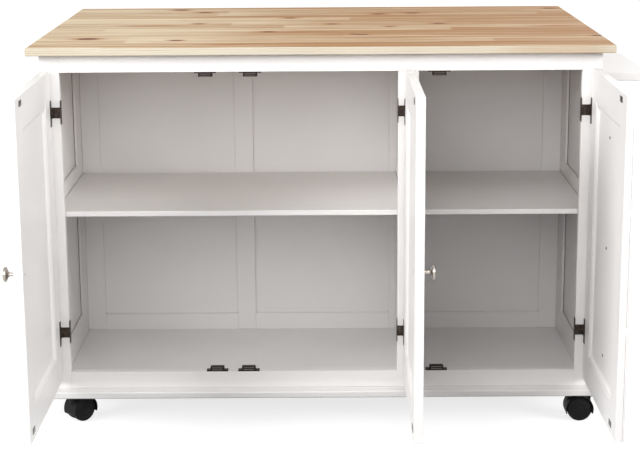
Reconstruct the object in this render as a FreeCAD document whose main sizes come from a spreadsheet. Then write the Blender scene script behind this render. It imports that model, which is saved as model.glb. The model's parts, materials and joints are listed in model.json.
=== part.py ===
import FreeCAD, Part
import math
import os
import Sketcher

# Drop leaf kitchen island with three doors, open as in its rest pose. Millimetres, +Z up, front towards -Y.
# The origin lies on the floor, at the middle of the box round the open island.
# Each piece is drawn in the cabinet's frame: X = 0 at its middle, Y = 0 at the face frame's front, Z = 0 at
# the floor. A door or caster is drawn about its own axis. A placement then carries each piece to the origin.

sizes = {
    # worktop and drop leaf
    "overallHeight": 915,
    "topLength": 1340,
    "topDepth": 569,
    "topThick": 18,
    "topOverhang": 30,
    "topRound": 2,
    "leafDepth": 283,
    "leafSeam": 1.5,
    # cabinet
    "bodyWidth": 1290,
    "bodyDepth": 465,
    "casterHeight": 76,
    "baseThick": 17,
    "baseFront": 30,
    "baseSide": 10,
    "baseRear": 10,
    "baseRound": 4,
    # face frame
    "faceThick": 18,
    "faceStile": 45,
    "centreStile": 47,
    "topRail": 42,
    "bottomRail": 40,
    "rightOpening": 375,
    # frame and panel work in the sides, the back and the doors
    "grooveDepth": 8,
    "panelEnd": 0.5,
    "panelThick": 6,
    "panelGap": 1.2,
    "panelSetback": 6,
    "sideThick": 19,
    "sideFrontStile": 76,
    "sideRearStile": 96,
    "sideBottomRail": 68,
    "sideMidRail": 75,
    "sideTopRail": 76,
    "backThick": 20,
    "backStile": 48,
    "backBottomRail": 44,
    "backTopRail": 68,
    # inside
    "partitionThick": 12,
    "shelfThick": 12.5,
    "shelfRise": 430,
    "shelfFrontGap": 2,
    "shelfRearGap": 2,
    "shelfEndGap": 0.5,
    "railOverShelf": 36,
    "shelfPinRadius": 2.5,
    "shelfPinInset": 100,
    "shelfPinHole": 10,
    "shelfPinReach": 8,
    # side shelf
    "sideShelfWidth": 118,
    "sideShelfStart": 52,
    "sideShelfDepth": 339,
    "sideShelfThick": 20,
    "sideShelfDrop": 75,
    "sideShelfCorner": 25,
    # doors
    "doorThick": 20,
    "doorGap": 3,
    "doorSideLap": 17,
    "doorCentreLap": 12,
    "doorTopLap": 5.5,
    "doorBottomLap": 17,
    "doorPairGap": 3,
    "doorMeetGap": 2,
    "doorStile": 65,
    "doorRail": 70,
    "falseFrontThick": 4.5,
    "falseFrontGroove": 19,
    # door hinges
    "hingeFromTop": 98.5,
    "hingeFromBottom": 117,
    "hingePinRadius": 1.2,
    "hingePlate": 1.2,
    "hingeWall": 0.4,
    "hingeStrap": 25,
    "hingeKnuckle": 8,
    "hingeFrameHeight": 55,
    "hingeDoorHeight": 60,
    "hingeReach": 14,
    "hingePinHead": 0.8,
    "hingePinEnd": 1,
    # knobs
    "knobRadius": 16,
    "knobLength": 26,
    "knobNeck": 4,
    "knobFoot": 6.5,
    "knobFootRise": 1.5,
    "knobNeckStart": 5,
    "knobLip": 2,
    "knobCrown": 3,
    "knobInset": 21,
    "falseKnobSpacing": 248,
    "screwRadius": 2,
    "screwHeadRadius": 4,
    "screwHeadThick": 1.6,
    "screwBite": 10,
    # magnetic catches and their strikes
    "catchLength": 51,
    "catchDepth": 16,
    "catchFlange": 2,
    "catchBodyLength": 33,
    "catchBodyHeight": 9.5,
    "catchRearStep": 1,
    "topCatchInset": 50,
    "bottomCatchInset": 36,
    "rightCatchInset": 57,
    "strikeLength": 24,
    "strikeHeight": 13,
    "strikeThick": 1.2,
    "strikeDrop": 3,
    "strikeGap": 0.3,
    "studRadius": 3,
    "studLength": 4,
    # casters
    "casterSide": 55,
    "casterEnd": 56,
    "casterTrail": 18,
    "wheelRadius": 29.5,
    "wheelWidth": 15,
    "wheelCrown": 1.5,
    "wheelRound": 2.5,
    "wheelGap": 1,
    "webThick": 8,
    "hoodGap": 1.5,
    "hoodWall": 2.5,
    "hoodSkirt": 10,
    "axleRadius": 3,
    "kingPinRadius": 4,
    "kingPinWall": 8,
    "casterPlate": 2.5,
    "casterPlateSide": 50,
    "casterPlay": 0.5,
    "brakePin": 1.5,
    "brakeThick": 4,
    "brakeWidth": 11,
    "brakeReach": 17,
    "brakeRise": 4.5,
    "brakeAngle": 50,
    "brakeBoss": 1.5,
    "lugThick": 3,
    "lugWall": 2,
    "lugBack": 6,
    "lugFront": 3,
    "lugRise": 20,
    # leaf hinges
    "leafBarrel": 3.5,
    "leafHingePin": 1.6,
    "leafHingePlate": 1.5,
    "leafHingeWidth": 60,
    "leafHingeReach": 32,
    "leafHingeKnuckle": 18,
    "leafHingeSpread": 500,
    # leaf stays
    "stayLugReach": 15,
    "stayStart": 100,
    "stayDrop": 8,
    "stayPivotDrop": 59.75,
    "stayThick": 3,
    "stayHalfWidth": 8,
    "stayPin": 3,
    "stayPinHead": 5,
    "stayPinHeadThick": 1,
    "stayBracketPlate": 2,
    "stayBracketWidth": 30,
    "stayTrackMargin": 12,
    "stayTrackFlange": 22,
    # play between pieces
    "runningFit": 0.05,
    "sideFit": 0.3,
    "pinFit": 0.2,
    "axleFit": 0.02,
}

# How far a tool reaches past the piece it cuts
past = 1


# A length worked out from the sheet: the text of its expression, and its value, from which sketches start.
class Formula:
    def __init__(self, text, value):
        self.text = text
        self.value = value

    def __add__(self, other):
        other = formula(other)
        return Formula("(" + self.text + " + " + other.text + ")", self.value + other.value)

    def __sub__(self, other):
        other = formula(other)
        return Formula("(" + self.text + " - " + other.text + ")", self.value - other.value)

    def __mul__(self, other):
        other = formula(other)
        return Formula("(" + self.text + " * " + other.text + ")", self.value * other.value)

    def __truediv__(self, other):
        other = formula(other)
        return Formula("(" + self.text + " / " + other.text + ")", self.value / other.value)

    def __radd__(self, other):
        return formula(other) + self

    def __rsub__(self, other):
        return formula(other) - self

    def __rmul__(self, other):
        return formula(other) * self

    def __neg__(self):
        return formula(0) - self


def formula(number):
    if isinstance(number, Formula):
        return number
    return Formula("(" + repr(number) + ")", number)


def root(length):
    return Formula("sqrt(" + length.text + ")", math.sqrt(length.value))


def cosine(angle):
    return Formula("cos(" + angle.text + " * 1 deg)", math.cos(math.radians(angle.value)))


def sine(angle):
    return Formula("sin(" + angle.text + " * 1 deg)", math.sin(math.radians(angle.value)))


def larger(first, second):
    return Formula("max(" + first.text + "; " + second.text + ")", max(first.value, second.value))


def smaller(first, second):
    return Formula("min(" + first.text + "; " + second.text + ")", min(first.value, second.value))


# The direction of a line that runs this far along and rises this much, in degrees
def slope(rise, along):
    text = "atan2(" + rise.text + "; " + along.text + ") / 1 deg"
    return Formula(text, math.degrees(math.atan2(rise.value, along.value)))


# The radius of an arc that rises this much over half its chord
def arcRadiusOver(half, rise):
    return (half * half + rise * rise) / (2 * rise)


doc = FreeCAD.newDocument("Island")
sheet = doc.addObject("Spreadsheet::Sheet", "Size")
for row, (name, number) in enumerate(sizes.items(), 1):
    sheet.set("A" + str(row), name)
    sheet.set("B" + str(row), str(number))
    sheet.setAlias("B" + str(row), name)
doc.recompute()


class Lengths:
    pass


size = Lengths()
for name, number in sizes.items():
    setattr(size, name, Formula("Size." + name, number))

# Heights
baseTop = size.casterHeight + size.baseThick
frameTop = size.overallHeight - size.topThick
frameHeight = frameTop - baseTop
openingBottom = baseTop + size.bottomRail
openingTop = frameTop - size.topRail
shelfTop = baseTop + size.shelfRise
shelfBottom = shelfTop - size.shelfThick
shelfPinZ = shelfBottom - size.shelfPinRadius
midRailTop = shelfTop + size.railOverShelf

# Places across the width
halfBody = size.bodyWidth / 2
openingEdge = halfBody - size.faceStile
centreRight = openingEdge - size.rightOpening
centreLeft = centreRight - size.centreStile
centreMiddle = (centreLeft + centreRight) / 2
sideInner = halfBody - size.sideThick

# Places along the depth
backInner = size.bodyDepth - size.backThick
shelfFront = size.faceThick + size.shelfFrontGap
shelfRear = backInner - size.shelfRearGap

# Doors: a closed door's edge lies one gap from its pin line, and its inner face in the pin line's plane.
doorBottom = openingBottom - size.doorBottomLap
doorHeight = openingTop + size.doorTopLap - doorBottom
outerDoorEdge = openingEdge + size.doorSideLap
middleDoorEdge = centreLeft + size.doorCentreLap
outerPin = outerDoorEdge + size.doorGap
middlePin = middleDoorEdge + size.doorGap
pairDoorWidth = (outerDoorEdge + middleDoorEdge - size.doorPairGap) / 2
rightDoorWidth = outerDoorEdge - middlePin - size.doorThick - size.doorMeetGap
hingeBarrel = size.doorGap - size.hingeWall

# Heights of the catches' housings above a door's lower edge
topCatchZ = openingTop - doorBottom - size.catchFlange - size.catchBodyHeight / 2
bottomCatchZ = openingBottom - doorBottom + size.catchFlange + size.catchBodyHeight / 2

# The leaf turns about a line under the seam.
leafFront = size.topDepth - size.topOverhang + size.leafSeam
leafAxisY = leafFront - size.leafSeam / 2
leafAxisZ = frameTop - size.leafBarrel - size.sideFit
leafHingePlaces = (-size.leafHingeSpread, formula(0), size.leafHingeSpread)

# The origin's place in the cabinet's frame: the middle of the box round the open island
boxLeft = -size.topLength / 2
boxRight = halfBody + size.sideShelfWidth
boxFront = -(2 * size.doorGap + larger(pairDoorWidth, rightDoorWidth))
boxRear = leafFront + size.leafDepth
originX = (boxLeft + boxRight) / 2
originY = (boxFront + boxRear) / 2

nodes = {}
axes = {
    "x": FreeCAD.Rotation(FreeCAD.Vector(0, 1, 0), 90),
    "y": FreeCAD.Rotation(FreeCAD.Vector(1, 0, 0), -90),
    "z": FreeCAD.Rotation(),
}
quarterTurn = FreeCAD.Rotation(FreeCAD.Vector(0, 0, 1), 90)


def bind(item, prop, length):
    item.setExpression(prop, formula(length).text)


def place(item, spot, rotation=None):
    if rotation is not None:
        item.Placement = FreeCAD.Placement(FreeCAD.Vector(), rotation)
    for letter, length in zip("xyz", spot):
        bind(item, "Placement.Base." + letter, length)
    return item


# A box from its lowest corner to its highest
def box(low, high):
    item = doc.addObject("Part::Box", "Block")
    for prop, start, end in zip(("Length", "Width", "Height"), low, high):
        bind(item, prop, end - formula(start))
    return place(item, low)


def rod(spot, axis, radius, length):
    item = doc.addObject("Part::Cylinder", "Rod")
    bind(item, "Radius", radius)
    bind(item, "Height", length)
    return place(item, spot, axes[axis])


# A round tool that drills a length from a spot, and reaches past both of its ends
def drill(spot, axis, radius, length):
    start = [at - past if letter == axis else at for letter, at in zip("xyz", spot)]
    return rod(start, axis, radius, length + 2 * past)


def join(*pieces):
    item = doc.addObject("Part::MultiFuse", "Joined")
    item.Shapes = list(pieces)
    item.Refine = True
    return item


def cut(piece, *tools):
    for tool in tools:
        item = doc.addObject("Part::Cut", "Trimmed")
        item.Base = piece
        item.Tool = tool
        piece = item
    return piece


def group(*pieces):
    item = doc.addObject("Part::Compound", "Group")
    item.Links = list(pieces)
    return item


def copyOf(piece, spot, rotation=None):
    item = doc.addObject("App::Link", "Copy")
    item.LinkedObject = piece
    return place(item, spot, rotation)


# Turns a piece about the X axis by an angle from the sheet, then moves it.
def tilt(piece, angle, spot):
    item = group(piece)
    item.Placement.Rotation = FreeCAD.Rotation(FreeCAD.Vector(1, 0, 0), 1)
    bind(item, "Placement.Rotation.Angle", angle)
    return place(item, spot)


# Names a finished piece, and carries it from the cabinet's frame to the origin.
def node(name, piece, spot=(0, 0, 0), turn=0):
    item = group(piece)
    item.Label = name
    rotation = FreeCAD.Rotation(FreeCAD.Vector(0, 0, 1), turn)
    place(item, (spot[0] - originX, spot[1] - originY, spot[2]), rotation)
    nodes[name] = item
    return item


def newBody(name):
    return doc.addObject("PartDesign::Body", name)


def sketchOn(body, role):
    sketch = body.newObject("Sketcher::SketchObject", body.Name + "Sketch")
    for plane in body.Origin.OriginFeatures:
        if plane.Role == role:
            sketch.AttachmentSupport = [(plane, "")]
    sketch.MapMode = "FlatFace"
    return sketch


# The centre of an arc from start to end, to the left of the way there where side is 1, to the right at -1
def arcCentre(start, end, radius, side):
    chord = end - start
    lift = math.sqrt(max(radius * radius - chord.Length * chord.Length / 4, 0))
    return start + chord / 2 + FreeCAD.Vector(-chord.y, chord.x, 0).normalize() * lift * side


# Draws a closed outline in the first quadrant. Each corner is a pair of lengths; a corner with a radius and a
# side after it is reached by an arc, the others by a line.
def outline(sketch, corners):
    spots = [FreeCAD.Vector(formula(c[0]).value, formula(c[1]).value, 0) for c in corners]
    for index, corner in enumerate(corners):
        start = spots[index - 1]
        end = spots[index]
        if len(corner) == 2:
            sketch.addGeometry(Part.LineSegment(start, end))
            continue
        centre = arcCentre(start, end, formula(corner[2]).value, corner[3])
        circle = Part.Circle(centre, FreeCAD.Vector(0, 0, 1), formula(corner[2]).value)
        first = circle.parameter(start)
        last = circle.parameter(end)
        if corner[3] < 0:
            first, last = last, first
        sketch.addGeometry(Part.ArcOfCircle(circle, first, last))
    for index, corner in enumerate(corners):
        pinCorner(sketch, corners, index)


def endOf(corners, index, last):
    reversedArc = len(corners[index]) > 2 and corners[index][3] < 0
    return 1 if last == reversedArc else 2


# Joins two edges of the outline, and holds their shared corner at its lengths from the sketch's axes.
def pinCorner(sketch, corners, index):
    following = (index + 1) % len(corners)
    here = endOf(corners, index, True)
    there = endOf(corners, following, False)
    sketch.addConstraint(Sketcher.Constraint("Coincident", index, here, following, there))
    for letter, length, axis in (("X", corners[index][0], -2), ("Y", corners[index][1], -1)):
        length = formula(length)
        if abs(length.value) < 1e-9:
            sketch.addConstraint(Sketcher.Constraint("PointOnObject", index, here, axis))
            continue
        made = sketch.addConstraint(
            Sketcher.Constraint("Distance" + letter, -1, 1, index, here, length.value)
        )
        bind(sketch, "Constraints[" + str(made) + "]", length)
    if len(corners[index]) > 2:
        made = sketch.addConstraint(Sketcher.Constraint("Radius", index, formula(corners[index][2]).value))
        bind(sketch, "Constraints[" + str(made) + "]", corners[index][2])


def pad(body, sketch, length):
    item = body.newObject("PartDesign::Pad", body.Name + "Pad")
    item.Profile = sketch
    bind(item, "Length", length)
    return item


def revolve(body, sketch):
    item = body.newObject("PartDesign::Revolution", body.Name + "Turned")
    item.Profile = sketch
    item.ReferenceAxis = (sketch, ["V_Axis"])
    item.Angle = 360
    return item


# Rounds the edges of a feature whose middle passes the test.
def fillet(body, feature, radius, chosen):
    doc.recompute()
    edges = []
    for index, edge in enumerate(feature.Shape.Edges, 1):
        middle = edge.valueAt((edge.FirstParameter + edge.LastParameter) / 2)
        if chosen(middle):
            edges.append("Edge" + str(index))
    item = body.newObject("PartDesign::Fillet", body.Name + "Round")
    item.Base = (feature, edges)
    bind(item, "Radius", radius)
    return item


# A board lying flat, its four upper and four lower edges rounded
def board(name, width, depth, thick, radius, cornerRadius=None):
    body = newBody(name)
    sketch = sketchOn(body, "XY_Plane")
    outline(sketch, [(0, 0), (width, 0), (width, depth), (0, depth)])
    made = pad(body, sketch, thick)
    if cornerRadius is not None:
        outer = formula(width).value - 1
        made = fillet(body, made, cornerRadius, lambda p: p.x > outer and 0 < p.z < formula(thick).value)
    fillet(body, made, radius, lambda p: p.z < 0.01 or p.z > formula(thick).value - 0.01)
    return body


def addWorktop():
    top = board("Top", size.topLength, size.topDepth, size.topThick, size.topRound)
    node("worktop", top, (-size.topLength / 2, -size.topOverhang, frameTop))
    leaf = board("Leaf", size.topLength, size.leafDepth, size.topThick, size.topRound)
    node("drop_leaf", leaf, (-size.topLength / 2, leafFront, frameTop))


def addBase():
    width = size.bodyWidth + 2 * size.baseSide
    depth = size.baseFront + size.bodyDepth + size.baseRear
    base = board("Base", width, depth, size.baseThick, size.baseRound)
    node("base_board", base, (-width / 2, -size.baseFront, size.casterHeight))


def addFaceFrame():
    stiles = []
    rails = []
    for left in (-halfBody, openingEdge):
        stiles.append(box((left, 0, baseTop), (left + size.faceStile, size.faceThick, frameTop)))
    stiles.append(box((centreLeft, 0, openingBottom), (centreRight, size.faceThick, openingTop)))
    for low, high in ((baseTop, openingBottom), (openingTop, frameTop)):
        rails.append(box((-openingEdge, 0, low), (openingEdge, size.faceThick, high)))
    node("face_frame_stiles", group(*stiles))
    node("face_frame_rails", group(*rails))


# Stiles and rails with grooves, and the panels that float in them, standing in the XZ plane with the outer
# face at Y = front. Stiles and rails are pairs of start and width. A panel lies against the outer wall of
# its groove.
def panelFrame(front, thick, stiles, rails, height, setback):
    back = front + thick
    near = front + setback
    far = near + size.panelThick + size.panelGap
    members = [stileOf(index, stiles, front, back, near, far, height) for index in range(len(stiles))]
    panels = []
    reach = size.grooveDepth - size.panelEnd
    for left, right in zip(stiles, stiles[1:]):
        start = left[0] + left[1]
        end = right[0]
        members += [railOf(index, rails, start, end, front, back, near, far) for index in range(len(rails))]
        for lower, upper in zip(rails, rails[1:]):
            low = (start - reach, near, lower[0] + lower[1] - reach)
            high = (end + reach, near + size.panelThick, upper[0] + reach)
            panels.append(box(low, high))
    return members, panels


# A stile is grooved on each side that faces a panel.
def stileOf(index, stiles, front, back, near, far, height):
    start, width = stiles[index]
    stile = box((start, front, 0), (start + width, back, height))
    if index > 0:
        stile = cut(stile, box((start - past, near, -past), (start + size.grooveDepth, far, height + past)))
    if index < len(stiles) - 1:
        end = start + width
        stile = cut(stile, box((end - size.grooveDepth, near, -past), (end + past, far, height + past)))
    return stile


# A rail is grooved on each edge that faces a panel.
def railOf(index, rails, start, end, front, back, near, far):
    low, tall = rails[index]
    rail = box((start, front, low), (end, back, low + tall))
    if index > 0:
        rail = cut(rail, box((start - past, near, low - past), (end + past, far, low + size.grooveDepth)))
    if index < len(rails) - 1:
        top = low + tall
        rail = cut(rail, box((start - past, near, top - size.grooveDepth), (end + past, far, top + past)))
    return rail


def addSides():
    depth = size.bodyDepth - size.faceThick
    stiles = [(formula(0), size.sideFrontStile), (depth - size.sideRearStile, size.sideRearStile)]
    rails = [
        (formula(0), size.sideBottomRail),
        (midRailTop - baseTop - size.sideMidRail, size.sideMidRail),
        (frameHeight - size.sideTopRail, size.sideTopRail),
    ]
    holes = []
    for along in (shelfFront + size.shelfPinInset, shelfRear - size.shelfPinInset):
        spot = (along - size.faceThick, size.sideThick - size.shelfPinHole, shelfPinZ - baseTop)
        holes.append(rod(spot, "y", size.shelfPinRadius + size.runningFit, size.shelfPinHole + past))
    members, panels = panelFrame(formula(0), size.sideThick, stiles, rails, frameHeight, size.panelSetback)
    midRail = 3
    members[midRail] = cut(members[midRail], *holes)
    # Turned so, the frame's thickness runs inwards from the right side's outer face. The left mirrors it.
    rightFrame = place(group(*members), (halfBody, size.faceThick, baseTop), quarterTurn)
    rightPanels = place(group(*panels), (halfBody, size.faceThick, baseTop), quarterTurn)
    node("right_side_frame", rightFrame)
    node("left_side_frame", mirrored(rightFrame))
    node("side_panels", group(rightPanels, mirrored(rightPanels)))


# The piece seen in a mirror that stands in the YZ plane
def mirrored(piece):
    item = doc.addObject("Part::Mirroring", "Mirrored")
    item.Source = piece
    item.Normal = FreeCAD.Vector(1, 0, 0)
    return item


# Shallow mortises for the leaf hinges, which reach the back frame where the worktop overhangs it by less.
# They are drawn in the back frame's own place, from its inner face and lower end.
def hingeMortises():
    half = size.leafHingeWidth / 2 + size.sideFit
    front = leafAxisY - size.leafHingeReach - size.sideFit - backInner
    bottom = frameHeight - size.leafHingePlate - size.sideFit
    rear = leafAxisY - backInner
    top = frameHeight + past
    return group(*[box((x - half, front, bottom), (x + half, rear, top)) for x in leafHingePlaces])


def addBack():
    stiles = [
        (-sideInner, size.backStile),
        (-centreMiddle - size.backStile / 2, size.backStile),
        (centreMiddle - size.backStile / 2, size.backStile),
        (sideInner - size.backStile, size.backStile),
    ]
    rails = [(formula(0), size.backBottomRail), (frameHeight - size.backTopRail, size.backTopRail)]
    members, panels = panelFrame(formula(0), size.backThick, stiles, rails, frameHeight, size.panelSetback)
    mortises = hingeMortises()
    members = [cut(member, mortises) for member in members]
    node("back_frame", group(*members), (0, backInner, baseTop))
    node("back_panels", group(*panels), (0, backInner, baseTop))


def addInside():
    half = size.partitionThick / 2
    low = (centreMiddle - half, size.faceThick, baseTop)
    partition = box(low, (centreMiddle + half, backInner, frameTop))
    pins = []
    for along in (shelfFront + size.shelfPinInset, shelfRear - size.shelfPinInset):
        through = size.partitionThick + 2 * size.shelfPinReach
        start = centreMiddle - half - size.shelfPinReach
        hole = rod((start, along, shelfPinZ), "x", size.shelfPinRadius + size.runningFit, through)
        partition = cut(partition, hole)
        pins.append(rod((start, along, shelfPinZ), "x", size.shelfPinRadius, through))
        length = size.shelfPinHole + size.shelfPinReach
        for start in (-sideInner - size.shelfPinHole, sideInner - size.shelfPinReach):
            pins.append(rod((start, along, shelfPinZ), "x", size.shelfPinRadius, length))
    node("partition", partition)
    node("shelf_pins", group(*pins))
    for name, start, end in (
        ("left_shelf", -sideInner, centreMiddle - half),
        ("right_shelf", centreMiddle + half, sideInner),
    ):
        low = (start + size.shelfEndGap, shelfFront, shelfBottom)
        node(name, box(low, (end - size.shelfEndGap, shelfRear, shelfTop)))


def addSideShelf():
    shelf = board(
        "SideShelf",
        size.sideShelfWidth,
        size.sideShelfDepth,
        size.sideShelfThick,
        size.topRound,
        size.sideShelfCorner,
    )
    bottom = size.overallHeight - size.sideShelfDrop - size.sideShelfThick
    node("side_shelf", shelf, (halfBody, size.sideShelfStart, bottom))


# Doors are drawn closed about their pin line, the inner face in the XZ plane and the outer face at -Y. A hand
# of 1 has its hinges at the left, and -1 at the right.
def spanX(hand, start, end):
    return (start, end) if hand > 0 else (-formula(end), -formula(start))


def strip(hand, start, end, lowY, highY, lowZ, highZ):
    left, right = spanX(hand, start, end)
    return box((left, lowY, lowZ), (right, highY, highZ))


# The stiles, rails and panel of a door whose frame is thick, its inner face in the pin line's plane
def doorMembers(hand, width, thick):
    first, last = spanX(hand, size.doorGap, size.doorGap + width)
    stiles = [(first, size.doorStile), (last - size.doorStile, size.doorStile)]
    rails = [(formula(0), size.doorRail), (doorHeight - size.doorRail, size.doorRail)]
    setback = thick - size.panelSetback - size.panelGap - size.panelThick
    return panelFrame(-thick, thick, stiles, rails, doorHeight, setback)


def knobShape():
    body = newBody("Knob")
    sketch = sketchOn(body, "XZ_Plane")
    hole = size.screwRadius + size.pinFit
    rim = size.knobLength - size.knobCrown
    bulge = size.knobLip / 4
    edge = size.knobRadius - bulge
    lipRadius = arcRadiusOver(size.knobLip / 2, bulge)
    capRadius = arcRadiusOver(edge, size.knobCrown)
    outline(
        sketch,
        [
            (hole, 0),
            (size.knobFoot, 0),
            (size.knobFoot, size.knobFootRise),
            (size.knobNeck, size.knobNeckStart, size.knobFoot, -1),
            (size.knobNeck, size.screwBite),
            (edge, rim - size.knobLip, size.knobRadius, -1),
            (edge, rim, lipRadius, 1),
            (0, size.knobLength, capRadius, 1),
            (0, size.screwBite),
            (hole, size.screwBite),
        ],
    )
    revolve(body, sketch)
    return body


knob = knobShape()
knobTurn = FreeCAD.Rotation(FreeCAD.Vector(1, 0, 0), 90)


# A knob on the outer face, and its screw with a head on the inner face of what it goes through
def knobAt(x, z, outer, inner):
    end = outer - size.screwBite + past
    shank = rod((x, end, z), "y", size.screwRadius, inner - end)
    head = rod((x, inner, z), "y", size.screwHeadRadius, size.screwHeadThick)
    return [copyOf(knob, (x, outer, z), knobTurn), join(shank, head)]


def screwHole(x, z):
    return drill((x, -size.doorThick, z), "y", size.screwRadius + size.pinFit, size.doorThick)


def hingeHeights():
    return (size.hingeFromBottom, doorHeight - size.hingeFromTop)


# The knuckles of a hinge leaf about the pin line, each from its low to its high height
def knuckles(spans, barrel, centre):
    return [rod((0, 0, centre + low), "z", barrel, high - low) for low, high in spans]


def frameHingeLeaf(hand, lap, centre):
    half = size.hingeStrap / 2
    inner = size.hingeKnuckle / 2 + size.sideFit
    front = size.doorGap - size.hingePlate
    strap = strip(hand, 0, lap + size.hingePlate, front, size.doorGap, centre - half, centre + half)
    notch = strip(
        hand, -past, size.doorGap, front - past, size.doorGap + past, centre - inner, centre + inner
    )
    tall = size.hingeFrameHeight / 2
    end = size.doorGap + size.hingeReach
    edge = strip(hand, lap, lap + size.hingePlate, front, end, centre - tall, centre + tall)
    barrels = knuckles(((-half, -inner), (inner, half)), hingeBarrel, centre)
    leaf = join(cut(strap, notch), edge, *barrels)
    bore = drill((0, 0, centre - half), "z", size.hingePinRadius + size.runningFit, size.hingeStrap)
    return cut(leaf, bore)


def doorHingeLeaf(hand, centre):
    half = size.hingeKnuckle / 2
    tall = size.hingeDoorHeight / 2
    end = size.doorGap + size.hingeReach
    plate = strip(hand, size.doorGap, end, 0, size.hingePlate, centre - tall, centre + tall)
    tongue = strip(hand, 0, size.doorGap + past, 0, size.hingePlate, centre - half, centre + half)
    leaf = join(plate, tongue, *knuckles(((-half, half),), hingeBarrel, centre))
    bore = drill((0, 0, centre - half), "z", size.hingePinRadius + size.runningFit, size.hingeKnuckle)
    return cut(leaf, bore)


def hingePin(centre):
    half = size.hingeStrap / 2
    head = size.hingePinRadius + size.hingePinHead
    return join(
        rod((0, 0, centre - half), "z", size.hingePinRadius, size.hingeStrap + size.hingePinEnd),
        rod((0, 0, centre + half), "z", head, size.hingePinEnd),
        rod((0, 0, centre - half - size.hingePinEnd), "z", head, size.hingePinEnd),
    )


def strikePlate(hand, across, centre):
    half = size.strikeLength / 2
    tall = size.strikeHeight / 2
    return strip(hand, across - half, across + half, 0, size.strikeThick, centre - tall, centre + tall)


# Adds the pieces that turn with a door, and gives back its hinges' frame leaves and pins.
def addDoor(name, hand, pinX, width, lap, insets):
    spot = (pinX, -size.doorGap, doorBottom)
    turn = -90 * hand
    if name == "right_door":
        pieces = drawerDoor(hand, width)
    else:
        pieces = plainDoor(name, hand, width)
    for label, solids in pieces.items():
        node(label, group(*solids), spot, turn)
    leaves = [doorHingeLeaf(hand, centre) for centre in hingeHeights()]
    node(name + "_hinge_leaves", group(*leaves), spot, turn)
    addStrikes(name, hand, size.doorGap + width, insets, spot, turn)
    frameLeaves = [frameHingeLeaf(hand, lap, centre) for centre in hingeHeights()]
    pins = [hingePin(centre) for centre in hingeHeights()]
    return place(group(*frameLeaves), spot), place(group(*pins), spot)


# The knob sits on the stile away from the hinges.
def plainDoor(name, hand, width):
    members, panels = doorMembers(hand, width, size.doorThick)
    across = hand * (size.doorGap + width - size.knobInset)
    freeStile = 1 if hand > 0 else 0
    members[freeStile] = cut(members[freeStile], screwHole(across, doorHeight / 2))
    knobs = knobAt(across, doorHeight / 2, -size.doorThick, formula(0))
    return {name + "_frame": members, name + "_panel": panels, name + "_knob": knobs}


# Three false drawer fronts lie on a thinner frame, each with a knob whose screw goes through the panel.
def drawerDoor(hand, width):
    members, panels = doorMembers(hand, width, size.doorThick - size.falseFrontThick)
    across = hand * (size.doorGap + width / 2)
    middle = doorHeight / 2
    heights = [middle - size.falseKnobSpacing, middle, middle + size.falseKnobSpacing]
    holes = [screwHole(across, height) for height in heights]
    knobs = []
    for height in heights:
        knobs += knobAt(across, height, -size.doorThick, -(size.panelSetback + size.panelGap))
    return {
        "right_door_frame": members,
        "right_door_panel": [cut(panels[0], *holes)],
        "right_door_knobs": knobs,
        "false_drawer_fronts": falseFronts(hand, width, holes),
    }


def falseFronts(hand, width, holes):
    tall = (doorHeight - 2 * size.falseFrontGroove) / 3
    back = -(size.doorThick - size.falseFrontThick)
    fronts = []
    for index, hole in enumerate(holes):
        low = (tall + size.falseFrontGroove) * index
        front = strip(hand, size.doorGap, size.doorGap + width, -size.doorThick, back, low, low + tall)
        fronts.append(cut(front, hole))
    return fronts


def addStrikes(name, hand, freeEdge, insets, spot, turn):
    heights = (topCatchZ - size.strikeDrop, bottomCatchZ - size.strikeDrop)
    plates = [strikePlate(hand, freeEdge - inset, height) for inset, height in zip(insets, heights)]
    if name == "left_door":
        across = freeEdge - insets[1]
        spotY = -size.doorThick - size.studLength
        plates.append(rod((across, spotY, heights[1]), "y", size.studRadius, size.studLength))
    node(name + "_strikes", group(*plates), spot, turn)


def addDoors():
    pairInsets = (size.topCatchInset, size.bottomCatchInset)
    rightInsets = (size.rightCatchInset, size.rightCatchInset)
    outerLap = outerPin - openingEdge
    middleLap = middlePin - centreLeft
    hinges = [
        addDoor("left_door", 1, -outerPin, pairDoorWidth, outerLap, pairInsets),
        addDoor("middle_door", -1, middlePin, pairDoorWidth, middleLap, pairInsets),
        addDoor("right_door", -1, outerPin, rightDoorWidth, outerLap, rightInsets),
    ]
    node("door_hinge_frame_leaves", group(*[leaves for leaves, pins in hinges]))
    node("door_hinge_pins", group(*[pins for leaves, pins in hinges]))


# A catch's flange lies on the rail, and its housing reaches forward to the strike of the closed door.
def catchAt(x, seat, up):
    flangeHalf = size.catchLength / 2
    bodyHalf = size.catchBodyLength / 2
    front = -(size.doorGap - size.strikeThick - size.strikeGap)
    flangeEnd = seat + up * size.catchFlange
    bodyEnd = flangeEnd + up * size.catchBodyHeight
    low, mid = (seat, flangeEnd) if up > 0 else (flangeEnd, seat)
    bodyLow, bodyHigh = (flangeEnd, bodyEnd) if up > 0 else (bodyEnd, flangeEnd)
    rear = size.catchDepth - size.catchRearStep
    flange = box((x - flangeHalf, 0, low), (x + flangeHalf, size.catchDepth, mid))
    housing = box((x - bodyHalf, front, bodyLow), (x + bodyHalf, rear, bodyHigh))
    return join(flange, housing)


def addCatches():
    leftFree = -outerDoorEdge + pairDoorWidth
    middleFree = middleDoorEdge - pairDoorWidth
    rightFree = outerDoorEdge - rightDoorWidth
    made = []
    for free, sign, insets in (
        (leftFree, -1, (size.topCatchInset, size.bottomCatchInset)),
        (middleFree, 1, (size.topCatchInset, size.bottomCatchInset)),
        (rightFree, 1, (size.rightCatchInset, size.rightCatchInset)),
    ):
        made.append(catchAt(free + sign * insets[0], openingTop, -1))
        made.append(catchAt(free + sign * insets[1], openingBottom, 1))
    node("catches", group(*made))


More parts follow.
